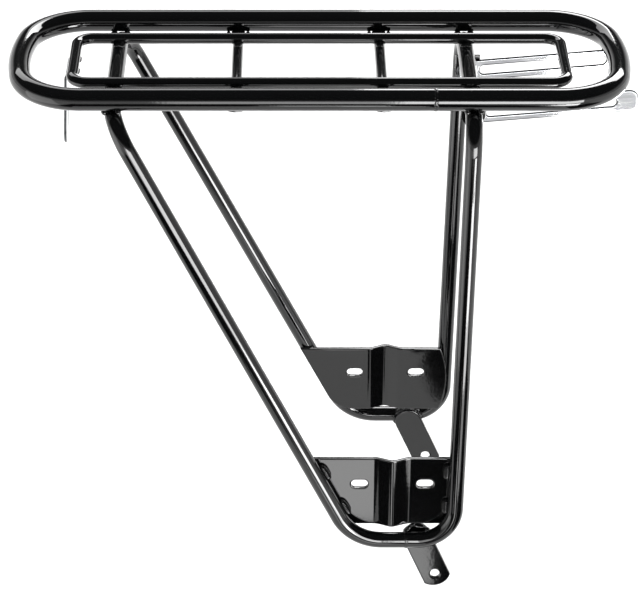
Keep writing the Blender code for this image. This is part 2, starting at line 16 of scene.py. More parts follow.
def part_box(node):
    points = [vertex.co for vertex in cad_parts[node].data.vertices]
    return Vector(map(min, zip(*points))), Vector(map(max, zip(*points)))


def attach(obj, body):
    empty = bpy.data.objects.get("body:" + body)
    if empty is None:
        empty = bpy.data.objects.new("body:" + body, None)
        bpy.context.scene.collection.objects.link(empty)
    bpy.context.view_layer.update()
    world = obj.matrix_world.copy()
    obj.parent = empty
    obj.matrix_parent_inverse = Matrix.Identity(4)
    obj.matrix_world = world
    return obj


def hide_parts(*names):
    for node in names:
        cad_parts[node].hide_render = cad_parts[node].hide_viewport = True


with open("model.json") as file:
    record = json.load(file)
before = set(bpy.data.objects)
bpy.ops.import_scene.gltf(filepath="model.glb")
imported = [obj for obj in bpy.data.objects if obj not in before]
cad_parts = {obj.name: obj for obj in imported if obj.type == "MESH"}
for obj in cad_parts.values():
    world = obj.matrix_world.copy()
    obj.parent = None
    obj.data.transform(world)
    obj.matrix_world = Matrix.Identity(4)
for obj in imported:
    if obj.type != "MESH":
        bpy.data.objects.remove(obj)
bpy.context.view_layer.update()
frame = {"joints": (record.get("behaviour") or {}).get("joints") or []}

# %% [markdown]
# ## The camera
# The camera stands about two metres off, well above the platform, and looks down at it through a long lens.
# It comes first, because every decision about light and detail is judged through it. The small sideways
# shift frames the carrier without turning the camera, so upright tubes stay upright.

# %% The camera
camera_data = bpy.data.cameras.new("camera")
camera_data.lens = 153.77
camera_data.sensor_width = 36
camera_data.shift_x = 0.0552
camera = bpy.data.objects.new("camera", camera_data)
camera.location = (-0.1126, -1.7931, 1.2019)
camera.rotation_euler = (math.radians(60.66), 0, 0)
bpy.context.scene.collection.objects.link(camera)
bpy.context.scene.camera = camera
print("camera at", tuple(camera.location))

# %% [markdown]
# ## Sizes taken from the frame
# A tube's axis runs one radius inside its box, so the boxes of the CAD nodes give every axis. Only what a
# box can't say is written here: bend radii, the foot's corners and the sizes of small features.

# %% Sizes
LEG_RADIUS = 0.006

low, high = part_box("outer_loop")
RAIL_RADIUS = (high.z - low.z) / 2
RAIL_Z = (high.z + low.z) / 2
RAIL_Y = high.y - RAIL_RADIUS
LOOP_REAR, LOOP_FRONT = low.x + RAIL_RADIUS, high.x - RAIL_RADIUS
LOOP_CORNER_BEND = 0.0453
LOOP_CORNER_ANGLE = math.radians(80)
LOOP_JOINT_X = -0.0088

low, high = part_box("inner_loop")
ROD_RADIUS = (high.z - low.z) / 2
ROD_Z = (high.z + low.z) / 2
ROD_Y = high.y - ROD_RADIUS
INNER_REAR, INNER_FRONT = low.x + ROD_RADIUS, high.x - ROD_RADIUS
INNER_BEND = 0.012

low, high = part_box("rear_leg_frame")
CROSS_Z = high.z - LEG_RADIUS
FOOT_Z = low.z + LEG_RADIUS
FOOT_Y = high.y - LEG_RADIUS
REAR_CROSS_X = low.x + LEG_RADIUS
FOOT_JOINT_X = high.x
FRONT_CROSS_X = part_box("front_leg_frame")[1].x - LEG_RADIUS
LEG_TOP_BEND = 0.027
FOOT_REAR_X, FOOT_REAR_BEND = -0.0632, 0.036
FOOT_FRONT_X, FOOT_FRONT_BEND = 0.0129, 0.028
SIDES = {"right": -1, "left": 1}
print(f"rail radius {RAIL_RADIUS:.4f}, rod radius {ROD_RADIUS:.4f}, cross tubes at z {CROSS_Z:.4f}")

# %% [markdown]
# ## Finishes
# Gloss powder coat is nearly black and very smooth, but it is never a perfect mirror: it has a faint orange
# peel, and its sheen varies a little. Where a punched edge was rubbed, the coat is thinner and duller.
# Chrome is a true mirror with fine polishing marks, and zinc plate is a pale, cloudy grey. The rims of the
# chrome pieces are painted near black, a painted reflection standing for the dark outlines along their edges.
# Each finish is one Principled shader, whose roughness, colour and bump come from noise in object
# coordinates, plus an attribute that marks the rims of punched pieces.

# %% Finish helpers
EDGE = "edge"


def add_node(tree, kind, **inputs):
    node = tree.nodes.new(kind)
    for name, value in inputs.items():
        node.inputs[name.replace("_", " ")].default_value = value
    return node


def remap(tree, value, low, high):
    """Turn a value of 0 to 1 into low to high."""
    node = add_node(tree, "ShaderNodeMapRange", To_Min=low, To_Max=high)
    tree.links.new(value, node.inputs["Value"])
    return node.outputs["Result"]


def noise(tree, place, scale, detail=3.0, stretch=(1, 1, 1)):
    mapping = add_node(tree, "ShaderNodeMapping", Scale=stretch)
    texture = add_node(tree, "ShaderNodeTexNoise", Scale=scale, Detail=detail)
    tree.links.new(place, mapping.inputs["Vector"])
    tree.links.new(mapping.outputs["Vector"], texture.inputs["Vector"])
    return texture.outputs["Fac"]


def blend_colours(tree, share, first, second):
    node = tree.nodes.new("ShaderNodeMix")
    node.data_type = "RGBA"
    node.inputs["A"].default_value = (*first, 1)
    node.inputs["B"].default_value = (*second, 1)
    tree.links.new(share, node.inputs["Factor"])
    return node.outputs["Result"]


def multiply(tree, first, second):
    node = tree.nodes.new("ShaderNodeMath")
    node.operation = "MULTIPLY"
    node.use_clamp = True
    tree.links.new(first, node.inputs[0])
    tree.links.new(second, node.inputs[1])
    return node.outputs["Value"]


def add_bump(tree, height, distance, after=None):
    node = add_node(tree, "ShaderNodeBump", Strength=1.0, Distance=distance)
    tree.links.new(height, node.inputs["Height"])
    if after:
        tree.links.new(after, node.inputs["Normal"])
    return node.outputs["Normal"]


def new_finish(name, metallic):
    material = bpy.data.materials.new(name)
    material.use_nodes = True
    tree = material.node_tree
    shader = tree.nodes["Principled BSDF"]
    shader.inputs["Metallic"].default_value = metallic
    place = tree.nodes.new("ShaderNodeTexCoord").outputs["Object"]
    return material, tree, shader, place


# %% The paint
def paint_finish(name, sheen, peel, grain):
    """Gloss black: sheen is the mean roughness, peel the height of the orange peel, grain its size."""
    material, tree, shader, place = new_finish(name, 0)
    rim = add_node(tree, "ShaderNodeAttribute")
    rim.attribute_name = EDGE
    patches = noise(tree, place, 55, 6)
    rubbed = multiply(tree, rim.outputs["Fac"], remap(tree, patches, -0.9, 1.3))
    colour = blend_colours(tree, rubbed, (0.0016, 0.0017, 0.0019), (0.02, 0.02, 0.02))
    tree.links.new(colour, shader.inputs["Base Color"])
    cloud = remap(tree, noise(tree, place, 28), sheen * 0.6, sheen * 1.4)
    dull = tree.nodes.new("ShaderNodeMath")
    dull.operation = "MULTIPLY_ADD"
    dull.inputs[1].default_value = 0.12
    tree.links.new(rubbed, dull.inputs[0])
    tree.links.new(cloud, dull.inputs[2])
    tree.links.new(dull.outputs["Value"], shader.inputs["Roughness"])
    shader.inputs["IOR"].default_value = 1.5
    fine = add_bump(tree, noise(tree, place, grain, 2), peel)
    tree.links.new(add_bump(tree, noise(tree, place, 40, 2), peel * 3, fine), shader.inputs["Normal"])
    return material


PAINT = paint_finish("gloss_black_coat", 0.055, 0.000012, 420)
WELD_PAINT = paint_finish("coat_over_weld", 0.16, 0.00012, 700)


# %% Chrome and zinc
def plated_finish(name, colours, painted_rim_reflection, roughness, brush, stretch, bump):
    """A plated metal: two shades in streaks, a dark rim painted on to stand for the dark reflections along
    its edges, a roughness range, and fine polishing marks.
    """
    material, tree, shader, place = new_finish(name, 1)
    clouds = noise(tree, place, 60, 4)
    rim = add_node(tree, "ShaderNodeAttribute")
    rim.attribute_name = EDGE
    marks = noise(tree, place, brush, 4, stretch)
    plate = blend_colours(tree, remap(tree, marks, -0.6, 1.6), *colours)
    # Painted reflection: the rims are mixed towards a dark colour that stands in for the dark reflections
    # along the edges.
    shade = tree.nodes.new("ShaderNodeMix")
    shade.data_type = "RGBA"
    shade.inputs["B"].default_value = (*painted_rim_reflection, 1)
    tree.links.new(plate, shade.inputs["A"])
    tree.links.new(remap(tree, rim.outputs["Fac"], 0, 0.9), shade.inputs["Factor"])
    tree.links.new(shade.outputs["Result"], shader.inputs["Base Color"])
    mixed = multiply(tree, remap(tree, marks, 0.3, 1.3), remap(tree, clouds, 0.7, 1.3))
    tree.links.new(remap(tree, mixed, *roughness), shader.inputs["Roughness"])
    tree.links.new(add_bump(tree, marks, bump), shader.inputs["Normal"])
    return material


# Chrome's rim colour is near black: a painted dark reflection that outlines the stays and the bracket.
CHROME = plated_finish(
    "chrome_plate", ((0.40, 0.41, 0.43), (0.84, 0.85, 0.86)), (0.02, 0.021, 0.023),
    (0.01, 0.035), 900, (0.06, 1, 1), 0.000001
)
ZINC = plated_finish(
    "zinc_plate", ((0.50, 0.51, 0.53), (0.68, 0.69, 0.68)), (0.3, 0.3, 0.3),
    (0.22, 0.42), 500, (1, 1, 1), 0.00001
)
print("finishes:", [m.name for m in bpy.data.materials])

# %% [markdown]
# ## From a bmesh to a finished piece
# Each piece ends the same way: its doubles are merged, its faces are turned outwards, it is shaded smooth,
# and it gets its finish and the body that it rides on, while the CAD nodes that it stands for are hidden.

# %% Finishing a piece
MERGE = 0.000002


def only(kind, geometry):
    return [item for item in geometry if isinstance(item, kind)]


def finish_piece(name, bm, material, nodes=(), body="carrier", sharp=40):
    bmesh.ops.remove_doubles(bm, verts=bm.verts, dist=MERGE)
    bmesh.ops.recalc_face_normals(bm, faces=bm.faces)
    mesh = bpy.data.meshes.new(name)
    bm.to_mesh(mesh)
    bm.free()
    mesh.shade_smooth()
    mesh.set_sharp_from_angle(angle=math.radians(sharp))
    mesh.materials.append(material)
    piece = bpy.data.objects.new(name, mesh)
    bpy.context.scene.collection.objects.link(piece)
    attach(piece, body)
    if nodes:
        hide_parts(*nodes)
    print(f"{name}: {len(mesh.polygons)} faces on {body}")
    return piece


# %% [markdown]
# ## Bent tubes
# A tube bender only knows two moves: push the tube forwards, and turn it round a former. The sweep below
# does the same. A ring of edges is extruded for each straight length and spun for each bend, in steps of
# two degrees, so the long highlights run round the bends without a facet.

# %% The tube bender
BEND_STEP = math.radians(2)
TUBE_SIDES = 64
END_SUPPORT = 0.0015


def follow(bm, verts, edges, place, heading, moves):
    """Carry a ring along: each move is a straight length, or (axis, bend radius, angle)."""
    for move in moves:
        if isinstance(move, tuple):
            axis, bend, angle = move
            centre = place + bend * axis.cross(heading)
            steps = max(2, math.ceil(angle / BEND_STEP))
            last = bmesh.ops.spin(
                bm, geom=verts + edges, cent=centre, axis=axis, angle=angle, steps=steps
            )["geom_last"]
            turn = Matrix.Rotation(angle, 3, axis)
            place = centre + turn @ (place - centre)
            heading = turn @ heading
        else:
            last = bmesh.ops.extrude_edge_only(bm, edges=edges)["geom"]
            bmesh.ops.translate(bm, verts=only(bmesh.types.BMVert, last), vec=heading * move)
            place = place + heading * move
        verts = only(bmesh.types.BMVert, last)
        inside = set(verts)
        edges = [edge for edge in only(bmesh.types.BMEdge, last) if set(edge.verts) <= inside]
    return verts, edges


def ring_matrix(place, heading):
    return Matrix.Translation(place) @ heading.to_track_quat("Z", "Y").to_matrix().to_4x4()


def bent_tube(radius, start, heading, moves, sides=TUBE_SIDES):
    """A tube whose first and last straights are split near the ends, so that a rounded end can't tilt
    the shading of a whole straight."""
    moves = [END_SUPPORT, moves[0] - END_SUPPORT, *moves[1:-1], moves[-1] - END_SUPPORT, END_SUPPORT]
    bm = bmesh.new()
    matrix = ring_matrix(start, heading)
    verts = bmesh.ops.create_circle(bm, segments=sides, radius=radius, matrix=matrix)["verts"]
    edges = list({edge for vert in verts for edge in vert.link_edges})
    follow(bm, verts, edges, start, heading, moves)
    return bm


def close_ends(bm, rim=0.0):
    """Fill the open ends, and round their rims."""
    caps = bmesh.ops.holes_fill(bm, edges=[edge for edge in bm.edges if edge.is_boundary])["faces"]
    bmesh.ops.recalc_face_normals(bm, faces=bm.faces)
    if rim:
        edges = list({edge for face in caps for edge in face.edges})
        bmesh.ops.bevel(
            bm, geom=edges, offset=rim, segments=3, profile=0.5, affect="EDGES", material=-1
        )
    return bm


def moves_between(points, bends):
    """The moves of a tube whose axis would turn sharply at each inner point."""
    headings = [(b - a).normalized() for a, b in zip(points, points[1:])]
    lengths = [(b - a).length for a, b in zip(points, points[1:])]
    moves, spent = [], 0
    for index, bend in enumerate(bends):
        angle = headings[index].angle(headings[index + 1])
        setback = bend * math.tan(angle / 2)
        axis = headings[index].cross(headings[index + 1]).normalized()
        moves += [lengths[index] - spent - setback, (axis, bend, angle)]
        spent = setback
    return moves + [lengths[-1] - spent]


# %% [markdown]
# ## The outer loop
# The thick tube round the platform carries the bags. It is bent as one ring, and its two ends meet on the
# right rail, where the butt joint was welded and ground. Each end of the ring is two tight corners with a
# nearly flat arc between them, so the moves are worked out from the corners' radius and angle.

# %% The outer loop
UP = Vector((0, 0, 1))
END_ANGLE = math.pi - 2 * LOOP_CORNER_ANGLE
END_BEND = (RAIL_Y - LOOP_CORNER_BEND * (1 - math.cos(LOOP_CORNER_ANGLE))) / math.cos(LOOP_CORNER_ANGLE)
END_DEPTH = LOOP_CORNER_BEND * math.sin(LOOP_CORNER_ANGLE) + END_BEND * (1 - math.cos(END_ANGLE / 2))
JOINT_GAP = 0.0006

corner = (UP, LOOP_CORNER_BEND, LOOP_CORNER_ANGLE)
end_moves = [corner, (UP, END_BEND, END_ANGLE), corner]
rail = LOOP_FRONT - LOOP_REAR - 2 * END_DEPTH
first = LOOP_FRONT - END_DEPTH - LOOP_JOINT_X - JOINT_GAP / 2
loop_start = Vector((LOOP_JOINT_X + JOINT_GAP / 2, -RAIL_Y, RAIL_Z))
loop_moves = [first, *end_moves, rail, *end_moves, rail - first - JOINT_GAP]
loop = close_ends(bent_tube(RAIL_RADIUS, loop_start, Vector((1, 0, 0)), loop_moves), 0.0004)
finish_piece("platform_tube", loop, PAINT, ["outer_loop"])

# %% The inner loop
corner = (UP, INNER_BEND, math.pi / 2)
length = INNER_FRONT - INNER_REAR - 2 * INNER_BEND
width = 2 * ROD_Y - 2 * INNER_BEND
rod_start = Vector(((INNER_FRONT + INNER_REAR) / 2, -ROD_Y, ROD_Z))
rod_moves = [length / 2, corner, width, corner, length, corner, width, corner, length / 2]
finish_piece(
    "inner_rod", bent_tube(ROD_RADIUS, rod_start, Vector((1, 0, 0)), rod_moves, 40), PAINT, ["inner_loop"]
)

# %% [markdown]
# ## Leg frames
# The two leg frames are tubes bent to a U: a cross tube under the platform, two legs, and two feet that are
# butt-welded to the other frame's feet. The upper bends just touch the rails, so how wide the legs stand at
# the top follows from the bend and the rail, found by closing in on the lean.

# %% The legs' lean
WELD_GAP = 0.0003
touch = LEG_TOP_BEND + LEG_RADIUS + RAIL_RADIUS + WELD_GAP
bend_centre = RAIL_Y - math.sqrt(touch**2 - (RAIL_Z - CROSS_Z + LEG_TOP_BEND) ** 2)
LEG_TOP_Y = bend_centre + LEG_TOP_BEND
for attempt in range(4):
    LEAN = math.atan2(FOOT_Y - LEG_TOP_Y, CROSS_Z - FOOT_Z)
    LEG_TOP_Y = bend_centre + LEG_TOP_BEND * math.tan((math.pi / 2 - LEAN) / 2)
print(f"the legs lean out by {math.degrees(LEAN):.2f} degrees from y {LEG_TOP_Y:.4f}")

# %% The leg frames
FRAMES = (
    ("rear_leg_frame", "rear_leg_tube", REAR_CROSS_X, FOOT_REAR_X, FOOT_REAR_BEND, FOOT_JOINT_X),
    ("front_leg_frame", "front_leg_tube", FRONT_CROSS_X, FOOT_FRONT_X, FOOT_FRONT_BEND,
     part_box("front_leg_frame")[0].x),
)
for node, name, cross_x, foot_x, foot_bend, joint_x in FRAMES:
    half = [
        Vector((joint_x, FOOT_Y, FOOT_Z)),
        Vector((foot_x, FOOT_Y, FOOT_Z)),
        Vector((cross_x, LEG_TOP_Y, CROSS_Z)),
    ]
    points = [Vector((p.x, -p.y, p.z)) for p in half] + half[::-1]
    moves = moves_between(points, [foot_bend, LEG_TOP_BEND, LEG_TOP_BEND, foot_bend])
    tube = bent_tube(LEG_RADIUS, points[0], (points[1] - points[0]).normalized(), moves, 56)
    finish_piece(name, close_ends(tube, 0.0004), PAINT, [node])

# %% [markdown]
# ## Cross bars
# The two cross bars are rods whose ends were pressed flat between dies, so that they sit on the underside
# of the rails. The press squeezes the round section wider and thinner and leaves a soft shoulder. A row of
# rings, each a little flatter than the last, is bridged into one skin. The change follows a smooth step.

# %% Cross bars
PADDLE_WIDTH, PADDLE_THICKNESS = 0.0145, 0.003
PADDLE_LENGTH, PADDLE_TAPER = 0.011, 0.009


def smooth_step(t):
    t = min(1, max(0, t))
    return t * t * (3 - 2 * t)


def skin(bm, rings):
    """Bridge a row of rings, each given as a matrix for a unit circle and its number of sides."""
    last = None
    for matrix, sides in rings:
        verts = bmesh.ops.create_circle(bm, segments=sides, radius=1, matrix=matrix)["verts"]
        edges = list({edge for vert in verts for edge in vert.link_edges})
        if last:
            bmesh.ops.bridge_loops(bm, edges=last + edges)
        last = edges
    return close_ends(bm)


def cross_bar_rings(node):
    low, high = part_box(node)
    x, bar_z, tip = (low.x + high.x) / 2, low.z + ROD_RADIUS, high.y
    paddle_z = RAIL_Z - RAIL_RADIUS - PADDLE_THICKNESS / 2 - 0.0001
    places = [tip - 0.00005, tip - 0.0006, tip - 0.002, tip - 0.004]
    places += [tip - PADDLE_LENGTH - PADDLE_TAPER * step / 12 for step in range(13)]
    rings = []
    for y in [-place for place in places] + places[::-1]:
        flat = smooth_step((abs(y) - (tip - PADDLE_LENGTH - PADDLE_TAPER)) / PADDLE_TAPER)
        end = math.sqrt(max(0.0, 1 - max(0.0, (abs(y) - tip + 0.004) / 0.0042) ** 2))
        half_width = (ROD_RADIUS + flat * (PADDLE_WIDTH / 2 - ROD_RADIUS)) * (0.45 + 0.55 * end)
        half_height = (ROD_RADIUS + flat * (PADDLE_THICKNESS / 2 - ROD_RADIUS)) * (0.6 + 0.4 * end)
        place = Vector((x, y, bar_z + flat * (paddle_z - bar_z)))
        size = Matrix.Diagonal((half_width, half_height, 1, 1))
        rings.append((Matrix.Translation(place) @ Matrix.Rotation(math.pi / 2, 4, "X") @ size, 40))
    return rings


for node, name in (("cross_bar_rear", "cross_rod_rear"), ("cross_bar_front", "cross_rod_front")):
    finish_piece(name, skin(bmesh.new(), cross_bar_rings(node)), PAINT, [node], sharp=60)

# %% [markdown]
# ## Punched sheet
# Plates, tabs, stays and lugs start as outlines on flat sheet. A pen draws each outline: one vertex is
# extruded for a straight edge and spun for a round one. The outline and its holes are filled together, a
# narrow margin is inset, the sheet is given its thickness, and its rims are rounded as a deburred edge is.
# The rims carry an attribute, so the paint can show a little wear there and nowhere else, and the chrome a
# painted dark reflection that outlines its edges.

# %% The pen
ARC_STEP = math.radians(4)


def draw(bm, start, heading, moves):
    """Draw a closed outline in the XZ plane: a move is a length, or (radius, angle) with 0 for a corner."""
    place = Vector((start[0], 0, start[1]))
    heading = math.radians(heading)
    vert = bm.verts.new(place)
    for move in moves:
        if isinstance(move, tuple):
            radius, angle = move
            if radius:
                side = math.copysign(1, angle)
                across = Vector((-math.sin(heading), 0, math.cos(heading))) * side
                steps = max(2, math.ceil(abs(angle) / ARC_STEP))
                last = bmesh.ops.spin(
                    bm, geom=[vert], cent=place + across * radius, axis=(0, -1, 0), angle=angle, steps=steps
                )["geom_last"]
                vert = only(bmesh.types.BMVert, last)[0]
                place = vert.co.copy()
            heading += angle
        else:
            step = Vector((math.cos(heading), 0, math.sin(heading))) * move
            last = bmesh.ops.extrude_vert_indiv(bm, verts=[vert])["verts"]
            bmesh.ops.translate(bm, verts=last, vec=step)
            vert = last[0]
            place = vert.co.copy()
    bmesh.ops.remove_doubles(bm, verts=bm.verts, dist=0.00003)


def punch(bm, place, radius, stretch=0.0, along="x"):
    """Add a round hole's outline, or a slot's where stretch pulls its halves apart."""
    spot = Matrix.Translation((place[0], 0, place[1])) @ Matrix.Rotation(math.pi / 2, 4, "X")
    verts = bmesh.ops.create_circle(bm, segments=64, radius=radius, matrix=spot)["verts"]
    centre = Vector((place[0], 0, place[1]))
    axis = Vector((1, 0, 0)) if along == "x" else Vector((0, 0, 1))
    for side in (-1, 1):
        half = [vert for vert in verts if (vert.co - centre).dot(axis) * side > 1e-7]
        bmesh.ops.translate(bm, verts=half, vec=axis * side * stretch / 2)


# %% From outline to sheet
def thicken(bm, thickness, rim, margin=0.0012, folds=(), shape=None):
    """Fill the outlines, fold the sheet, give it its thickness from y = 0 up, and round its rims."""
    faces = bmesh.ops.triangle_fill(
        bm, use_beauty=True, use_dissolve=True, edges=bm.edges[:], normal=(0, -1, 0)
    )["geom"]
    faces = only(bmesh.types.BMFace, faces)
    bmesh.ops.inset_region(bm, faces=faces, thickness=margin, use_boundary=True, use_even_offset=True)
    for normal, at in folds:
        bmesh.ops.bisect_plane(
            bm, geom=bm.verts[:] + bm.edges[:] + bm.faces[:], plane_co=at, plane_no=normal, dist=1e-7
        )
    if shape:
        for vert in bm.verts:
            vert.co.y += shape(vert.co)
    grown = bmesh.ops.extrude_face_region(bm, geom=bm.faces[:])["geom"]
    bmesh.ops.translate(bm, verts=only(bmesh.types.BMVert, grown), vec=(0, thickness, 0))
    bmesh.ops.recalc_face_normals(bm, faces=bm.faces)
    wall = {face for face in bm.faces if abs(face.normal.y) < 0.5}
    rims = [edge for edge in bm.edges if sum(face in wall for face in edge.link_faces) == 1]
    layer = bm.verts.layers.float.new(EDGE)
    rounded = bmesh.ops.bevel(
        bm, geom=rims, offset=rim, segments=3, profile=0.5, affect="EDGES", material=-1
    )["verts"]
    for vert in rounded:
        vert[layer] = 1.0
    return bm


def move_by(bm, matrix):
    bmesh.ops.transform(bm, matrix=matrix, verts=bm.verts)
    return bm


def hoop_plane(outward):
    """The leaning plane that holds one side's legs, plate and tab: its origin is on the foot's axis."""
    return Matrix.Translation((0, outward * FOOT_Y, FOOT_Z)) @ Matrix.Rotation(outward * LEAN, 4, "X")


# %% [markdown]
# ## Gusset plates
# Each side has a folded plate inside its legs. It stiffens the triangle of tubes, and its pressed ridge
# stops it from rattling. The rear edge follows the diagonal tube, the front edge bulges a little past the
# leg, and two slots take the bolts of a light or a guard. The ridge is folded after punching, as in the
# shop: the sheet is cut along the fold lines first, and the points near them are then moved out.

# %% The plates' outline
PLATE_THICKNESS, PLATE_HEIGHT, PLATE_RISE = 0.003, 0.0567, 0.0104
PLATE_OVERLAP, PLATE_CORNER = 0.004, 0.023
PLATE_FRONT_X, PLATE_BULGE = 0.0097, 0.0051
RIDGE_X, RIDGE_HALF, RIDGE_DEPTH, RIDGE_ROUND = -0.0337, 0.0116, 0.0055, 0.003
SLOT_LENGTH, SLOT_HEIGHT, SLOT_SPREAD, SLOT_RISE = 0.0125, 0.007, 0.0243, 0.0347


def draw_plate(bm):
    slope = math.atan2(FOOT_REAR_X - REAR_CROSS_X, CROSS_Z - FOOT_Z)
    bottom, top = PLATE_RISE, PLATE_RISE + PLATE_HEIGHT
    past = PLATE_OVERLAP / math.cos(slope)
    rear_bottom = FOOT_REAR_X - bottom * math.tan(slope) - past
    rear_top = FOOT_REAR_X - top * math.tan(slope) - past
    turn = math.pi / 2 + slope
    setback = PLATE_CORNER * math.tan((math.pi - turn) / 2)
    radius = (PLATE_HEIGHT**2 / 4 + PLATE_BULGE**2) / (2 * PLATE_BULGE)
    reach = math.asin(PLATE_HEIGHT / 2 / radius)
    draw(bm, (rear_bottom + setback, bottom), 0, [
        PLATE_FRONT_X - rear_bottom - setback,
        (0, math.pi / 2 - reach),
        (radius, 2 * reach),
        (0, math.pi / 2 - reach),
        PLATE_FRONT_X - rear_top,
        (0, turn),
        PLATE_HEIGHT / math.cos(slope) - setback,
        (PLATE_CORNER, math.pi - turn),
    ])


def ridge(outward):
    """How far the fold pushes a point out, with each corner of the fold rounded."""
    def push(point):
        away = abs(point.x - RIDGE_X)
        rise = RIDGE_DEPTH * max(0, 1 - away / RIDGE_HALF)
        slope = RIDGE_DEPTH / RIDGE_HALF
        if away < RIDGE_ROUND:
            rise = RIDGE_DEPTH - slope * (away**2 + RIDGE_ROUND**2) / (2 * RIDGE_ROUND)
        near = RIDGE_HALF + RIDGE_ROUND - away
        if 0 < near < 2 * RIDGE_ROUND:
            rise = slope * near**2 / (4 * RIDGE_ROUND)
        return outward * rise
    return push


# %% The plates
FOLDS = [((1, 0, 0), (RIDGE_X + side * (centre + RIDGE_ROUND * step / 4), 0, 0))
         for side in (-1, 1)
         for centre, steps in ((0, range(0, 5)), (RIDGE_HALF, range(-4, 5)))
         for step in steps]
for side, outward in SIDES.items():
    sheet = bmesh.new()
    draw_plate(sheet)
    for sign in (-1, 1):
        spot = (RIDGE_X + sign * SLOT_SPREAD, PLATE_RISE + SLOT_RISE)
        punch(sheet, spot, SLOT_HEIGHT / 2, SLOT_LENGTH - SLOT_HEIGHT)
    thicken(sheet, PLATE_THICKNESS, 0.0005, folds=FOLDS, shape=ridge(outward))
    inner = LEG_RADIUS + PLATE_THICKNESS
    start = -inner if outward > 0 else inner - PLATE_THICKNESS
    move_by(sheet, hoop_plane(outward) @ Matrix.Translation((0, start, 0)))
    finish_piece(f"folded_plate_{side}", sheet, PAINT, [f"gusset_plate_{side}"])

# %% [markdown]
# ## Axle tabs
# A flat strip leans forwards from each foot down to the bicycle's dropout. Its upper end is a full round,
# its lower end a shallow arc about the hole, and both rims of the hole are chamfered as a countersink
# leaves them.

# %% The tabs
TAB_THICKNESS, TAB_WIDTH, TAB_LEAN = 0.004, 0.021, math.radians(23.5)
TAB_END_RADIUS, TAB_END_DROP, TAB_TOP_GAP = 0.013, 0.010, 0.0012
AXLE_HOLE_RADIUS, AXLE_HOLE_CHAMFER = 0.0036, 0.0011
NEAR_RIM = 0.0007


def chamfer_hole(bm, radius, chamfer, thickness):
    """Widen both rims of the hole at the origin, as a countersink does."""
    for depth in (chamfer, thickness - chamfer):
        everything = bm.verts[:] + bm.edges[:] + bm.faces[:]
        bmesh.ops.bisect_plane(bm, geom=everything, plane_co=(0, depth, 0), plane_no=(0, 1, 0), dist=1e-7)
    for vert in bm.verts:
        away = math.hypot(vert.co.x, vert.co.z)
        if away < radius + NEAR_RIM:
            depth = min(vert.co.y, thickness - vert.co.y)
            wider = (radius + max(0.0, chamfer - depth)) / away
            vert.co.x *= wider
            vert.co.z *= wider


half = TAB_WIDTH / 2
rise = ((FOOT_Z + PLATE_RISE - TAB_TOP_GAP) / math.cos(LEAN) - half) / math.cos(TAB_LEAN)
TAB_ROUND_RISE = rise
end_angle = math.asin(half / TAB_END_RADIUS)
end_rise = TAB_END_RADIUS * (1 - math.cos(end_angle)) - TAB_END_DROP
for side, outward in SIDES.items():
    strip = bmesh.new()
    draw(strip, (half, rise), 90, [
        (half, math.pi),
        rise - end_rise,
        (0, math.pi / 2 - end_angle),
        (TAB_END_RADIUS, 2 * end_angle),
        (0, math.pi / 2 - end_angle),
        rise - end_rise,
    ])
    punch(strip, (0, 0), AXLE_HOLE_RADIUS)
    thicken(strip, TAB_THICKNESS, 0.0005)
    chamfer_hole(strip, AXLE_HOLE_RADIUS, AXLE_HOLE_CHAMFER, TAB_THICKNESS)
    start = -LEG_RADIUS - TAB_THICKNESS if outward > 0 else LEG_RADIUS
    axle = Matrix.Translation((0, start, -FOOT_Z / math.cos(LEAN)))
    move_by(strip, hoop_plane(outward) @ axle @ Matrix.Rotation(-TAB_LEAN, 4, "Y"))
    finish_piece(f"axle_strip_{side}", strip, PAINT, [f"axle_tab_{side}"])

# %% [markdown]
# ## Front stays
# The stays are chromed flat bars with one long slot, so that a fitter can clamp them anywhere along it.
# Each one swings about its bolt, and rests under the front of the outer loop. They are punched flat like
# the plates, then turned about the pivot by the angle at which they rest.

# %% The stays
pivots = {joint["child"]: Vector(joint["pos_m"]) for joint in frame["joints"]}
STAY_WIDTH, STAY_THICKNESS, STAY_REACH, STAY_CORNER = 0.016, 0.002, 0.1165, 0.006
STAY_SLOT = (0.0085, 0.101)
STAY_SLOT_HEIGHT, STAY_REST_GAP, BOLT_RADIUS = 0.0068, 0.0006, 0.003
PIVOT = pivots["stay_right_body"]
STAY_Y = abs(PIVOT.y)

ahead = LOOP_FRONT - END_BEND + math.sqrt(END_BEND**2 - STAY_Y**2) - PIVOT.x
above = RAIL_Z - PIVOT.z
clear = RAIL_RADIUS + STAY_WIDTH / 2 + STAY_REST_GAP
STAY_TILT = math.acos(clear / math.hypot(ahead, above)) - math.atan2(ahead, above)
print(f"the stays rest {math.degrees(STAY_TILT):.2f} degrees above level")

for side, outward in SIDES.items():
    bar = bmesh.new()
    half = STAY_WIDTH / 2
    corner = (STAY_CORNER, math.pi / 2)
    edge = STAY_REACH - STAY_CORNER
    draw(bar, (0, -half), 0, [edge, corner, STAY_WIDTH - 2 * STAY_CORNER, corner, edge, (half, math.pi)])
    length = STAY_SLOT[1] - STAY_SLOT[0] - STAY_SLOT_HEIGHT
    punch(bar, (sum(STAY_SLOT) / 2, 0), STAY_SLOT_HEIGHT / 2, length)
    punch(bar, (0, 0), BOLT_RADIUS + 0.0002)
    # The wide rounded rim also sets how wide the painted dark reflection along the stay's edges is.
    thicken(bar, STAY_THICKNESS, 0.0009, margin=0.0011)
    turn = Matrix.Rotation(-STAY_TILT, 4, "Y") @ Matrix.Translation((0, -STAY_THICKNESS / 2, 0))
    move_by(bar, Matrix.Translation((PIVOT.x, outward * STAY_Y, PIVOT.z)) @ turn)
    finish_piece(f"chrome_stay_{side}", bar, CHROME, [f"stay_{side}"], f"stay_{side}_body")

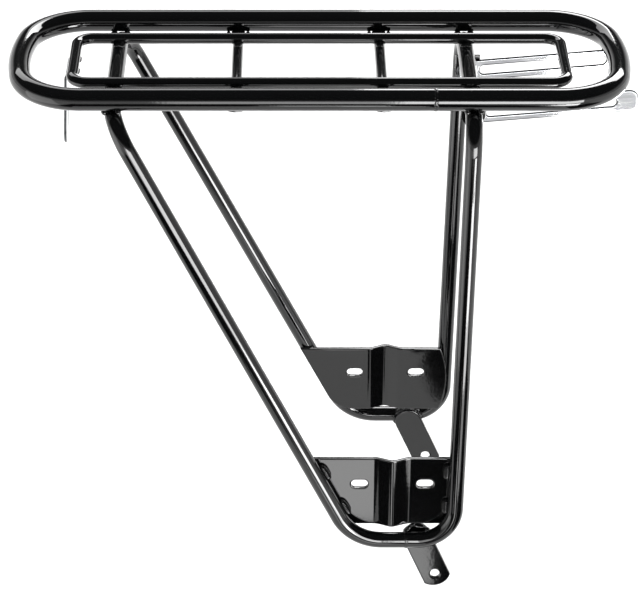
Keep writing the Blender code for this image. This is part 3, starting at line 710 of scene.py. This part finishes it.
# %% [markdown]
# ## Lugs and pivot bolts
# A short lug is welded under the front cross tube for each stay. A bolt holds the stay against it with a
# washer on each side, and the nut is on the inside. Turned pieces are made as on a lathe: half a profile is
# drawn as a wire and spun once round. Hexagons are extruded, and their corners are chamfered by shaving
# them with a cone.

# %% The lugs
LUG_THICKNESS, LUG_WIDTH, STACK_GAP = 0.003, 0.018, 0.0003

for side, outward in SIDES.items():
    lug = bmesh.new()
    half = LUG_WIDTH / 2
    rise = CROSS_Z - LEG_RADIUS / 2 - PIVOT.z
    draw(lug, (PIVOT.x + half, PIVOT.z), 90, [
        rise, (0, math.pi / 2), LUG_WIDTH, (0, math.pi / 2), rise, (half, math.pi),
    ])
    punch(lug, (PIVOT.x, PIVOT.z), BOLT_RADIUS + 0.0002)
    thicken(lug, LUG_THICKNESS, 0.0004)
    inner = STAY_Y + STAY_THICKNESS / 2 + STACK_GAP
    move_by(lug, Matrix.Translation((0, inner if outward > 0 else -inner - LUG_THICKNESS, 0)))
    finish_piece(f"pivot_lug_{side}", lug, PAINT, [f"stay_lug_{side}"])


# %% The lathe
def lathe(profile, steps=64):
    """Spin a profile of (radius, y) points, in order, once round the Y axis."""
    bm = bmesh.new()
    verts = [bm.verts.new((radius, y, 0)) for radius, y in profile]
    edges = [bm.edges.new(pair) for pair in zip(verts, verts[1:])]
    bmesh.ops.spin(
        bm, geom=verts + edges, cent=(0, 0, 0), axis=(0, 1, 0), angle=2 * math.pi, steps=steps, use_merge=True
    )
    bmesh.ops.remove_doubles(bm, verts=bm.verts, dist=MERGE)
    return bm


def ring_profile(inner, outer, y, thickness, chamfer):
    """The closed profile of a washer with broken edges."""
    top = y + thickness
    points = [
        (inner + chamfer, y), (outer - chamfer, y), (outer, y + chamfer), (outer, top - chamfer),
        (outer - chamfer, top), (inner + chamfer, top), (inner, top - chamfer), (inner, y + chamfer),
    ]
    return points + points[:1]


# %% Hexagons and threads
HEX_WIDTH, HEAD_HEIGHT, NUT_HEIGHT, BOLT_LENGTH = 0.010, 0.004, 0.005, 0.016
WASHER_RADIUS, WASHER_THICKNESS, PITCH = 0.006, 0.0016, 0.001
BORE = BOLT_RADIUS + 0.0002
CHAMFER_INSET, CHAMFER_START, CHAMFER_SLOPE = 0.0006, HEX_WIDTH / 2 * 0.96, 0.55


def hexagon(y, height, chamfered):
    """A hexagon along Y whose corners are turned off at the ends listed in chamfered, as a lathe does."""
    bm = bmesh.new()
    turn = Matrix.Translation((0, y, 0)) @ Matrix.Rotation(-math.pi / 2, 4, "X")
    corner = HEX_WIDTH / math.sqrt(3)
    verts = bmesh.ops.create_circle(bm, segments=6, radius=corner, cap_ends=True, matrix=turn)["verts"]
    edges = list({edge for vert in verts for edge in vert.link_edges})
    bmesh.ops.subdivide_edges(bm, edges=edges, cuts=15)
    grown = bmesh.ops.extrude_face_region(bm, geom=bm.faces[:])["geom"]
    bmesh.ops.translate(bm, verts=only(bmesh.types.BMVert, grown), vec=(0, height, 0))
    bmesh.ops.recalc_face_normals(bm, faces=bm.faces)
    for end in chamfered:
        cap = max(bm.faces, key=lambda face: face.normal.y * end)
        bmesh.ops.inset_region(bm, faces=[cap], thickness=CHAMFER_INSET, use_even_offset=True)
    for vert in bm.verts:
        away = math.hypot(vert.co.x, vert.co.z)
        for end in chamfered:
            flat = y + height if end > 0 else y
            turned = max(0.0, away - CHAMFER_START) * CHAMFER_SLOPE
            if abs(vert.co.y - flat) < 1e-6:
                vert.co.y -= end * turned
    return bm


def bolt_profile(start, length):
    """The shank and its thread as one profile, from the head's underside to the chamfered tip."""
    root = BOLT_RADIUS - 0.00045
    points = [(0, start), (BOLT_RADIUS, start), (BOLT_RADIUS, start - 0.006)]
    y = start - 0.0065
    while y > start - length + 0.0012:
        points += [(root, y), (BOLT_RADIUS, y - PITCH / 2)]
        y -= PITCH
    return points + [(root, start - length + 0.0006), (root - 0.0006, start - length), (0, start - length)]


# %% The pivot bolts
def stack(outward):
    """The frame of one pivot: the bolt runs along Y, with its head outside."""
    place = Matrix.Translation((PIVOT.x, outward * STAY_Y, PIVOT.z))
    return place @ Matrix.Rotation(0 if outward > 0 else math.pi, 4, "Z")


for side, outward in SIDES.items():
    outer = STAY_THICKNESS / 2 + LUG_THICKNESS + 2 * STACK_GAP
    inner = -STAY_THICKNESS / 2 - STACK_GAP - WASHER_THICKNESS
    seat = outer + WASHER_THICKNESS + STACK_GAP
    head = hexagon(seat, HEAD_HEIGHT, [1])
    shank = lathe(bolt_profile(seat + 0.0002, BOLT_LENGTH))
    shank_mesh = bpy.data.meshes.new("shank")
    shank.to_mesh(shank_mesh)
    shank.free()
    head.from_mesh(shank_mesh)
    bpy.data.meshes.remove(shank_mesh)
    finish_piece(f"pivot_bolt_{side}", move_by(head, stack(outward)), ZINC, [f"stay_bolt_{side}"], sharp=30)
    for place, y in (("outer", outer), ("inner", inner)):
        ring = lathe(ring_profile(BORE, WASHER_RADIUS, y, WASHER_THICKNESS, 0.0002))
        move_by(ring, stack(outward))
        finish_piece(f"washer_{place}_{side}", ring, ZINC, [f"{place}_washer_{side}"], sharp=30)
    nut = hexagon(inner - STACK_GAP - NUT_HEIGHT, NUT_HEIGHT, [1, -1])
    finish_piece(f"pivot_nut_{side}", move_by(nut, stack(outward)), ZINC, [f"stay_nut_{side}"], sharp=30)

# %% [markdown]
# ## The light bracket
# A chromed strip hangs under the rear end of the inner rod, for a lamp or a reflector. It is punched flat,
# with a hole and a slot, and then bent through nearly a right angle. The bend is a mapping: a point's
# distance along the strip becomes a place on a line that runs back, turns and drops.

# %% The bracket
STRIP_THICKNESS, STRIP_BEND, FLANGE, STRIP_LEAN = 0.002, 0.0025, 0.005, math.radians(2.5)
low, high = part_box("light_bracket")
STRIP_HALF = high.y
flange_end = Vector((high.x, 0, high.z - STRIP_THICKNESS / 2))
turn_angle = math.pi / 2 - STRIP_LEAN
turn_length = STRIP_BEND * turn_angle
knee = flange_end + Vector((
    -FLANGE - STRIP_BEND * math.sin(turn_angle), 0, -STRIP_BEND * (1 - math.cos(turn_angle)),
))
tongue = (knee.z - low.z) / math.cos(STRIP_LEAN)
BRACKET_HOLE = (0.020, 0.0028)
BRACKET_SLOT = (0.039, 0.006, 0.014)


def on_strip(along, off):
    """The place at a distance along the bent strip, and off its middle line, as (x, z)."""
    if along < FLANGE:
        return flange_end.x - along, flange_end.z + off
    if along < FLANGE + turn_length:
        angle = (along - FLANGE) / STRIP_BEND
        reach = STRIP_BEND + off
        x = flange_end.x - FLANGE - reach * math.sin(angle)
        return x, flange_end.z - STRIP_BEND + reach * math.cos(angle)
    down = along - FLANGE - turn_length
    x = knee.x - math.sin(STRIP_LEAN) * down - math.cos(STRIP_LEAN) * off
    return x, knee.z - math.cos(STRIP_LEAN) * down + math.sin(STRIP_LEAN) * off


strip = bmesh.new()
before_tongue = FLANGE + turn_length
side_length = before_tongue + tongue - STRIP_HALF
draw(strip, (-STRIP_HALF, 0), -90, [
    side_length, (STRIP_HALF, math.pi), side_length, (0, math.pi / 2), 2 * STRIP_HALF,
])
punch(strip, (0, -before_tongue - BRACKET_HOLE[0]), BRACKET_HOLE[1])
drop, slot_width, slot_length = BRACKET_SLOT
punch(strip, (0, -before_tongue - drop), slot_width / 2, slot_length - slot_width, "z")
bends = [((0, 0, 1), (0, 0, -FLANGE - turn_length * step / 16)) for step in range(17)]
# The rounded rim also sets how wide the painted dark reflection along the bracket's edges is.
thicken(strip, STRIP_THICKNESS, 0.0007, margin=0.0009, folds=bends)
for vert in strip.verts:
    across, off, along = vert.co.x, vert.co.y - STRIP_THICKNESS / 2, -vert.co.z
    x, z = on_strip(along, off)
    vert.co = (x, across, z)
finish_piece("lamp_bracket", strip, CHROME, ["light_bracket"])

# %% [markdown]
# ## Welds
# Every joint between tubes is a weld, painted over with the rest. A bead is a row of overlapping ripples,
# fat in the middle and round at both ends. It is a skin over rings that swell and shrink along a short
# line, and it is sunk into both pieces. Round a butt joint the bead is one rippled ring.

# %% Beads
RIPPLE = 0.0011
RING_RIPPLES, RING_WAVE = 22, 0.35


def bead(bm, start, end, radius, across=None, squash=0.75, bow=(0, 0, 0)):
    """One bead from start to end: across is the direction of its full width, and bow lifts its middle."""
    start, end = Vector(start), Vector(end)
    heading = (end - start).normalized()
    length = (end - start).length
    across = (Vector(across) if across else heading.orthogonal()).normalized()
    height = heading.cross(across).normalized()
    count = max(10, math.ceil(length / RIPPLE * 5))
    rings = []
    for step in range(count + 1):
        t = step / count
        end_round = math.sqrt(max(0.002, 1 - abs(2 * t - 1) ** 3.2))
        wave = abs(math.sin(math.pi * t * length / RIPPLE))
        size = radius * end_round * (0.9 + 0.14 * wave)
        middle = start.lerp(end, t) + Vector(bow) * 4 * t * (1 - t)
        axes = Matrix((across * size, height * size * squash, heading)).transposed().to_4x4()
        rings.append((Matrix.Translation(middle) @ axes, 16))
    part = bmesh.new()
    skin(part, rings)
    bmesh.ops.recalc_face_normals(part, faces=part.faces)
    mesh = bpy.data.meshes.new("bead")
    part.to_mesh(mesh)
    part.free()
    bm.from_mesh(mesh)
    bpy.data.meshes.remove(mesh)


def ring_bead(name, place, tube_radius, size):
    """A rippled ring round a tube that runs along X."""
    bm = bmesh.new()
    spot = Matrix.Translation((0, 0, tube_radius)) @ Matrix.Rotation(math.pi / 2, 4, "X")
    section = spot @ Matrix.Diagonal((size * 2, size, 1, 1))
    verts = bmesh.ops.create_circle(bm, segments=14, radius=1, matrix=section)["verts"]
    edges = list({edge for vert in verts for edge in vert.link_edges})
    bmesh.ops.spin(
        bm, geom=verts + edges, cent=(0, 0, 0), axis=(1, 0, 0), angle=2 * math.pi, steps=180, use_merge=True
    )
    for vert in bm.verts:
        turn = math.atan2(vert.co.y, vert.co.z)
        vert.co.x += size * RING_WAVE * math.sin(turn * RING_RIPPLES)
    move_by(bm, Matrix.Translation(place))
    return finish_piece(name, bm, WELD_PAINT, sharp=70)


for side, outward in SIDES.items():
    foot = ((FOOT_JOINT_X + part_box("front_leg_frame")[0].x) / 2, outward * FOOT_Y, FOOT_Z)
    ring_bead(f"foot_weld_{side}", foot, LEG_RADIUS - 0.0001, 0.0005)
ring_bead("rail_weld", (LOOP_JOINT_X, -RAIL_Y, RAIL_Z), RAIL_RADIUS - 0.0002, 0.0006)

# %% Beads under the platform
beads = bmesh.new()
crossings = [(REAR_CROSS_X, CROSS_Z, LEG_RADIUS), (FRONT_CROSS_X, CROSS_Z, LEG_RADIUS)]
for node in ("cross_bar_rear", "cross_bar_front"):
    low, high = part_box(node)
    crossings.append(((low.x + high.x) / 2, low.z + ROD_RADIUS, ROD_RADIUS))
for x, z, radius in crossings:
    for outward in (-1, 1):
        for sign in (-1, 1):
            y = outward * ROD_Y + sign * (ROD_RADIUS * 0.75)
            top = z + radius - 0.0004
            reach = radius * 0.72
            bead(beads, (x - reach, y, top), (x + reach, y, top), 0.0021, (0, 1, 0), 0.8, (0, 0, 0.0006))
finish_piece("rod_welds", beads, WELD_PAINT, sharp=70)

beads = bmesh.new()
for node in ("cross_bar_rear", "cross_bar_front"):
    low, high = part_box(node)
    for outward in (-1, 1):
        for x in (low.x, high.x):
            y = outward * (high.y - 0.0012)
            z = RAIL_Z - RAIL_RADIUS + 0.0002
            bead(beads, (x, y - outward * 0.010, z), (x, y, z), 0.0015, (1, 0, 0), 0.9)
        bead(beads, (low.x + 0.002, y, z - 0.0004), (high.x - 0.002, y, z - 0.0004), 0.0014, (0, 1, 0), 0.9)
for x in (REAR_CROSS_X, FRONT_CROSS_X):
    for outward in (-1, 1):
        centre = Vector((x, outward * bend_centre, CROSS_Z - LEG_TOP_BEND))
        towards = (Vector((x, outward * RAIL_Y, RAIL_Z)) - centre).normalized()
        contact = centre + towards * (LEG_TOP_BEND + LEG_RADIUS)
        along = towards.cross(Vector((1, 0, 0))).normalized()
        for sign in (-1, 1):
            spot = contact + Vector((sign * LEG_RADIUS * 0.78, 0, 0)) - towards * 0.0012
            bead(beads, spot - along * 0.0055, spot + along * 0.0055, 0.0024, (1, 0, 0), 0.9)
finish_piece("rail_welds", beads, WELD_PAINT, sharp=70)

# %% Beads on the hoops
PLATE_BEAD_RISES, PLATE_BEAD_HALF, PLATE_BEAD_RADIUS = (0.0565, 0.0265), 0.0058, 0.0032
TAB_BEAD_STARTS, TAB_BEAD_TURN, TAB_BEAD_RADIUS = (-12, 38, 92, 140), 40, 0.0024
SLOPE = math.atan2(FOOT_REAR_X - REAR_CROSS_X, (CROSS_Z - FOOT_Z) / math.cos(LEAN))
FRONT_SLOPE = math.atan2(FOOT_FRONT_X - FRONT_CROSS_X, (CROSS_Z - FOOT_Z) / math.cos(LEAN))
beads = bmesh.new()
for outward in (-1, 1):
    plane = hoop_plane(outward)
    face = -outward * (LEG_RADIUS - 0.0006)
    for foot_x, slope, inward in ((FOOT_REAR_X, SLOPE, 1), (FOOT_FRONT_X, FRONT_SLOPE, -1)):
        for height in PLATE_BEAD_RISES:
            ends = []
            for rise in (height + PLATE_BEAD_HALF, height - PLATE_BEAD_HALF):
                x = foot_x - rise * math.tan(slope) + inward * (LEG_RADIUS + 0.001) / math.cos(slope)
                ends.append(plane @ Vector((x, -outward * (LEG_RADIUS - 0.002), rise)))
            bead(beads, *ends, PLATE_BEAD_RADIUS, (1, 0, 0), 0.9)
    strip = plane @ Matrix.Translation((0, 0, -FOOT_Z / math.cos(LEAN))) @ Matrix.Rotation(-TAB_LEAN, 4, "Y")
    reach = TAB_WIDTH / 2 + 0.0004
    for start_angle in TAB_BEAD_STARTS:
        angles = [math.radians(start_angle + step) for step in (0, TAB_BEAD_TURN)]
        spots = [
            strip @ Vector((reach * math.cos(a), face, TAB_ROUND_RISE + reach * math.sin(a))) for a in angles
        ]
        bead(beads, *spots, TAB_BEAD_RADIUS, (0, 1, 0), 0.8)
finish_piece("hoop_welds", beads, WELD_PAINT, sharp=70)

# %% Beads on the lugs and the bracket
beads = bmesh.new()
for outward in (-1, 1):
    inner = STAY_Y + STAY_THICKNESS / 2 + STACK_GAP
    for y in (inner, inner + LUG_THICKNESS):
        z = CROSS_Z - LEG_RADIUS + 0.0006
        span = LUG_WIDTH * 0.30
        bead(
            beads, (FRONT_CROSS_X - span, outward * y, z), (FRONT_CROSS_X + span, outward * y, z),
            0.0012, (0, 1, 0), 0.9, (0, 0, -0.0008)
        )
for y in (-0.010, 0.010):
    x = INNER_REAR + ROD_RADIUS * 0.8
    z = ROD_Z - ROD_RADIUS
    bead(beads, (x, y - 0.0045, z), (x, y + 0.0045, z), 0.0013, (1, 0, 0), 0.9)
finish_piece("small_welds", beads, WELD_PAINT, sharp=70)

# %% [markdown]
# ## The studio
# Black gloss shows nothing of itself, only what stands round it. The floor is pale and evenly lit. Long
# soft boxes behind draw the thin line along the tops of the tubes, a low one in front draws the white band
# on the near rail, and strips at the front right give each leg its white stripe. Dark cloths on the floor
# keep parts of the plates black, and small boxes that face up turn other parts grey. A grey cloth takes the
# glare off the chrome stays. The overhead light is kept out of reflections, so the tubes' tops stay black.

# %% The floor
FLOOR_Z = -0.34


def stage_sheet(name, places, colour, seen=True):
    """A flat stage surface with corners at the places: unseen ones only show in reflections."""
    bm = bmesh.new()
    bm.faces.new([bm.verts.new(place) for place in places])
    mesh = bpy.data.meshes.new(name)
    bm.to_mesh(mesh)
    bm.free()
    material, tree, shader, place = new_finish(name, 0)
    tint = blend_colours(tree, noise(tree, place, 2), colour, [min(1, 1.03 * part) for part in colour])
    tree.links.new(tint, shader.inputs["Base Color"])
    shader.inputs["Roughness"].default_value = 0.9
    shader.inputs["Specular IOR Level"].default_value = 0.0
    mesh.materials.append(material)
    obj = bpy.data.objects.new(name, mesh)
    bpy.context.scene.collection.objects.link(obj)
    if not seen:
        obj.visible_camera = False
        obj.visible_diffuse = False
        obj.visible_shadow = False
    return obj


REACH = 14
floor_corners = [(-REACH, -REACH), (REACH, -REACH), (REACH, REACH), (-REACH, REACH)]
stage_sheet("floor", [(x, y, FLOOR_Z) for x, y in floor_corners], (0.80, 0.80, 0.80))
DARK, GREY, STAY_GREY = (0.015, 0.015, 0.015), (0.50, 0.50, 0.50), (0.45, 0.45, 0.45)
CARDS = (
    ("dark_cloth", DARK, 0.002, [
        (0, -1.10), (0.17, -1.10), (0.17, -0.48), (0.043, -0.48), (0.030, -0.56), (0.032, -0.70), (0, -0.74),
    ]),
    ("right_cloth", DARK, 0.003, [(0.25, -0.75), (0.9, -0.75), (0.9, -0.10), (0.25, -0.10)]),
    ("left_cloth", DARK, 0.002, [(-0.75, -1.10), (-0.15, -1.10), (-0.15, -0.72), (-0.75, -0.72)]),
    ("far_left_cloth", DARK, 0.002, [(-0.75, -0.72), (-0.45, -0.72), (-0.45, -0.45), (-0.75, -0.45)]),
    ("front_cloth", DARK, 0.002, [(-0.75, -1.75), (0.09, -1.75), (0.12, -1.10), (-0.75, -1.10)]),
    ("stay_cloth", STAY_GREY, 0.003, [(0.09, -1.75), (0.42, -1.75), (0.42, -1.15), (0.12, -1.15)]),
    ("grey_cloth", GREY, 0.001, [(-0.9, -2.6), (1.4, -2.6), (1.4, -0.9), (-0.9, -0.9)]),
)
for name, colour, rise, corners in CARDS:
    stage_sheet(name, [(x, y, FLOOR_Z + rise) for x, y in corners], colour, seen=False)


# %% The lights
def aim(obj, place, target):
    obj.location = place
    obj.rotation_euler = (Vector(place) - Vector(target)).to_track_quat("Z", "Y").to_euler()


def soft_box(name, place, target, width, height, radiance):
    """A rectangular light of a given radiance, which the camera doesn't see."""
    data = bpy.data.lights.new(name, "AREA")
    data.shape = "RECTANGLE"
    data.size, data.size_y = width, height
    data.energy = radiance * math.pi * width * height
    light = bpy.data.objects.new(name, data)
    bpy.context.scene.collection.objects.link(light)
    aim(light, place, target)
    light.visible_camera = False
    light.visible_diffuse = False
    return light


sun_data = bpy.data.lights.new("overhead", "SUN")
sun_data.energy = 5.6
sun_data.angle = math.radians(90)
sun = bpy.data.objects.new("overhead", sun_data)
bpy.context.scene.collection.objects.link(sun)
sun.visible_glossy = False
aim(sun, (0, 0, 3), (0, 0, 0))

MIDDLE = (-0.09, 0.0, 0.35)
soft_box("back_right_box", (0.95, 1.75, 1.72), (0.95, 0, 0.388), 1.9, 0.85, 13.0)
soft_box("back_left_box", (-0.95, 1.75, 1.72), (-0.95, 0, 0.388), 1.9, 0.85, 3.5)
soft_box("front_right_box", (0.62, -1.45, 0.16), (0.62, 0, 0.16), 1.2, 0.62, 15.0)
soft_box("front_fade_box", (-0.13, -1.45, 0.16), (-0.13, 0, 0.16), 0.3, 0.62, 4.0)
soft_box("left_box", (-1.1, -0.4, 0.0), MIDDLE, 0.9, 1.0, 1.6)
for name, left, right, front, back, radiance in (
    ("wing_box", -0.13, -0.005, -0.90, -0.72, 4.6),
    ("tab_box", -0.06, 0.032, -0.70, -0.60, 3.5),
):
    place = ((left + right) / 2, (front + back) / 2, FLOOR_Z + 0.01)
    soft_box(name, place, (place[0], place[1], 1), right - left, back - front, radiance)
STRIPS = (
    (0.23, 0.02, 0.07, 24.0), (0.15, -0.12, 0.02, 24.0),
    (0.15, -0.20, -0.12, 13.0), (0.15, -0.33, -0.20, 3.0),
)
for number, (left, bottom, top, radiance) in enumerate(STRIPS):
    spot = ((left + 0.51) / 2, -0.70, (bottom + top) / 2)
    soft_box(f"strip_{number}", spot, (spot[0] - 0.28, -0.08, spot[2]), 0.51 - left, top - bottom, radiance)

# %% The sky
world = bpy.data.worlds.new("studio")
world.use_nodes = True
bpy.context.scene.world = world
tree = world.node_tree
direction = tree.nodes.new("ShaderNodeTexCoord").outputs["Generated"]
split = tree.nodes.new("ShaderNodeSeparateXYZ")
tree.links.new(direction, split.inputs["Vector"])
ramp = tree.nodes.new("ShaderNodeValToRGB")
tree.links.new(remap(tree, split.outputs["Z"], 0, 1), ramp.inputs["Fac"])
ramp.color_ramp.elements[0].color = (1, 1, 1, 1)
ramp.color_ramp.elements[0].position = 0.10
ramp.color_ramp.elements[1].color = (0.05, 0.05, 0.05, 1)
ramp.color_ramp.elements[1].position = 0.28
tree.links.new(ramp.outputs["Color"], tree.nodes["Background"].inputs["Color"])
bpy.context.scene.view_settings.view_transform = "Standard"
print("lights:", [light.name for light in bpy.data.lights])
